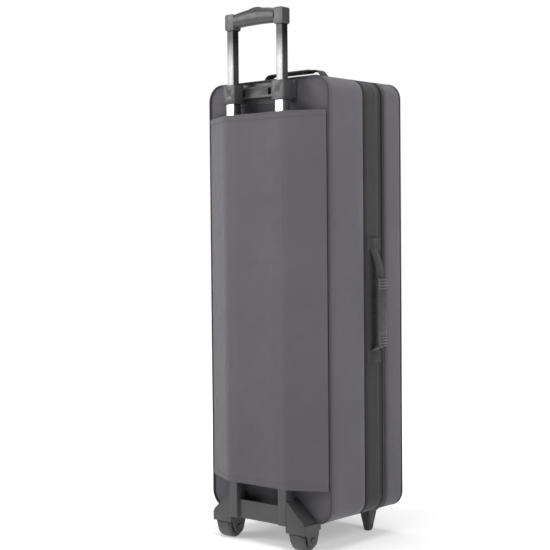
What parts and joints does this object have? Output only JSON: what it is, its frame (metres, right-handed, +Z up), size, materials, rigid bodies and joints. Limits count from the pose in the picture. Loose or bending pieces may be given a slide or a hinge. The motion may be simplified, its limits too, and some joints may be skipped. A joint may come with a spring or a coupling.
{
  "type": "wheeled ball case",
  "caption": "tall boxy soft case with a zipped lid along its long side, padded bays inside, a telescoping pull handle and wheels on its back, and carry handles on its side and top",
  "frame": {"origin": "on the floor, under the middle of the whole object with its pull handle out", "axes": "+Z up; the pull handle and wheels are on the -Y side, the lid is on the +Y side, and the side handle and zip are on the +X side"},
  "size_m": [0.368, 0.2992, 1.1504],
  "materials": {
    "grey_fabric": "woven grey polyester over stiff board",
    "black_fabric": "black webbing and woven polyester",
    "foam": "closed-cell foam faced with brushed cloth",
    "lining": "padded dividers and pocket in brushed cloth",
    "board": "polyethylene board",
    "piping": "welt of dark cord",
    "bracket_plastic": "moulded grey nylon",
    "black_plastic": "moulded black nylon",
    "grip_rubber": "smooth dark grip",
    "tyre": "polyurethane tyre",
    "aluminium": "satin extruded tube",
    "steel": "plain steel",
    "zip": "moulded zip and tape"
  },
  "bodies": {
    "case": {"rear_shell": "grey_fabric", "zip_gusset": "black_fabric", "rear_piping": "piping", "back_board": "board", "foam_liner": "foam", "divider_1": "lining", "divider_2": "lining", "divider_3": "lining", "zip_half_case": "zip", "hinge_strip": "black_fabric", "outer_tube_left": "aluminium", "outer_tube_right": "aluminium", "top_bracket": "bracket_plastic", "bracket_screw_left": "black_plastic", "bracket_screw_right": "black_plastic", "tube_cover": "grey_fabric", "wheel_frame": "bracket_plastic", "base_screw_left": "steel", "base_screw_right": "steel", "axle_left": "steel", "axle_right": "steel", "side_anchor_upper": "black_fabric", "side_anchor_lower": "black_fabric", "top_anchor_left": "black_fabric", "top_anchor_right": "black_fabric"},
    "lid": {"lid_shell": "grey_fabric", "zip_half_lid": "zip", "lid_piping": "piping", "lid_foam": "foam", "lid_pocket": "lining", "foot_left": "black_plastic", "foot_right": "black_plastic"},
    "zip_slider_left": {"slider_left": "steel"},
    "zip_slider_right": {"slider_right": "steel"},
    "zip_pull_left": {"pull_tab_left": "zip"},
    "zip_pull_right": {"pull_tab_right": "zip"},
    "pull_handle": {"inner_tube_left": "aluminium", "inner_tube_right": "aluminium", "lock_slug_left": "black_plastic", "lock_slug_right": "black_plastic", "grip_cap_left": "bracket_plastic", "grip_cap_right": "bracket_plastic", "grip_bar": "bracket_plastic", "button_spring": "steel"},
    "release": {"push_button": "black_plastic", "link_bar": "steel", "release_rod_left": "steel", "release_rod_right": "steel"},
    "pin_left": {"lock_pin_left": "steel"},
    "pin_right": {"lock_pin_right": "steel"},
    "wheel_left": {"hub_left": "black_plastic", "tyre_left": "tyre", "wheel_bush_left": "steel"},
    "wheel_right": {"hub_right": "black_plastic", "tyre_right": "tyre", "wheel_bush_right": "steel"},
    "side_handle": {"side_strap": "black_fabric", "side_grip": "grip_rubber"},
    "top_handle": {"top_strap": "black_fabric"}
  },
  "joints": [
    {"name": "lid_hinge", "type": "hinge", "parent": "case", "child": "lid", "pos_m": [-0.184, 0.07855, 0.528], "axis": [0, 0, 1], "range_deg": [0, 175]},
    {"name": "handle_slide", "type": "slide", "parent": "case", "child": "pull_handle", "axis": [0, 0, 1], "range_m": [-0.112, 0]},
    {"name": "button_press", "type": "slide", "parent": "pull_handle", "child": "release", "axis": [0, 0, 1], "range_m": [-0.004, 0], "stiffness_N_per_m": 1200, "springref_m": 0.003, "deforming": ["button_spring"]},
    {"name": "pin_left_slide", "type": "slide", "parent": "pull_handle", "child": "pin_left", "axis": [1, 0, 0], "range_m": [0, 0.003]},
    {"name": "pin_right_slide", "type": "slide", "parent": "pull_handle", "child": "pin_right", "axis": [1, 0, 0], "range_m": [-0.003, 0]},
    {"name": "wheel_left_spin", "type": "hinge", "parent": "case", "child": "wheel_left", "pos_m": [-0.119, -0.11845, 0.025], "axis": [1, 0, 0], "continuous": true},
    {"name": "wheel_right_spin", "type": "hinge", "parent": "case", "child": "wheel_right", "pos_m": [0.091, -0.11845, 0.025], "axis": [1, 0, 0], "continuous": true},
    {"name": "zip_left_slide", "type": "slide", "parent": "case", "child": "zip_slider_left", "axis": [1, 0, 0], "range_m": [-0.16, 0]},
    {"name": "zip_right_slide", "type": "slide", "parent": "case", "child": "zip_slider_right", "axis": [1, 0, 0], "range_m": [0, 0.06]},
    {"name": "pull_left_flip", "type": "hinge", "parent": "zip_slider_left", "child": "zip_pull_left", "pos_m": [0.0216, 0.07855, 0.9994], "axis": [0, 1, 0], "range_deg": [0, 100]},
    {"name": "pull_right_flip", "type": "hinge", "parent": "zip_slider_right", "child": "zip_pull_right", "pos_m": [0.0504, 0.07855, 0.9994], "axis": [0, -1, 0], "range_deg": [0, 100]},
    {"name": "side_handle_swing", "type": "hinge", "parent": "case", "child": "side_handle", "pos_m": [0.16414, 0.04555, 0.498], "axis": [0, 0, 1], "range_deg": [-25, 25]},
    {"name": "top_handle_swing", "type": "hinge", "parent": "case", "child": "top_handle", "pos_m": [-0.014, -0.00845, 1.009], "axis": [1, 0, 0], "range_deg": [-35, 35], "stiffness_Nm_per_rad": 0.05}
  ],
  "couplings": [
    {"joint": "pin_left_slide", "follows": "button_press", "ratio": -0.75},
    {"joint": "pin_right_slide", "follows": "button_press", "ratio": 0.75}
  ]
}
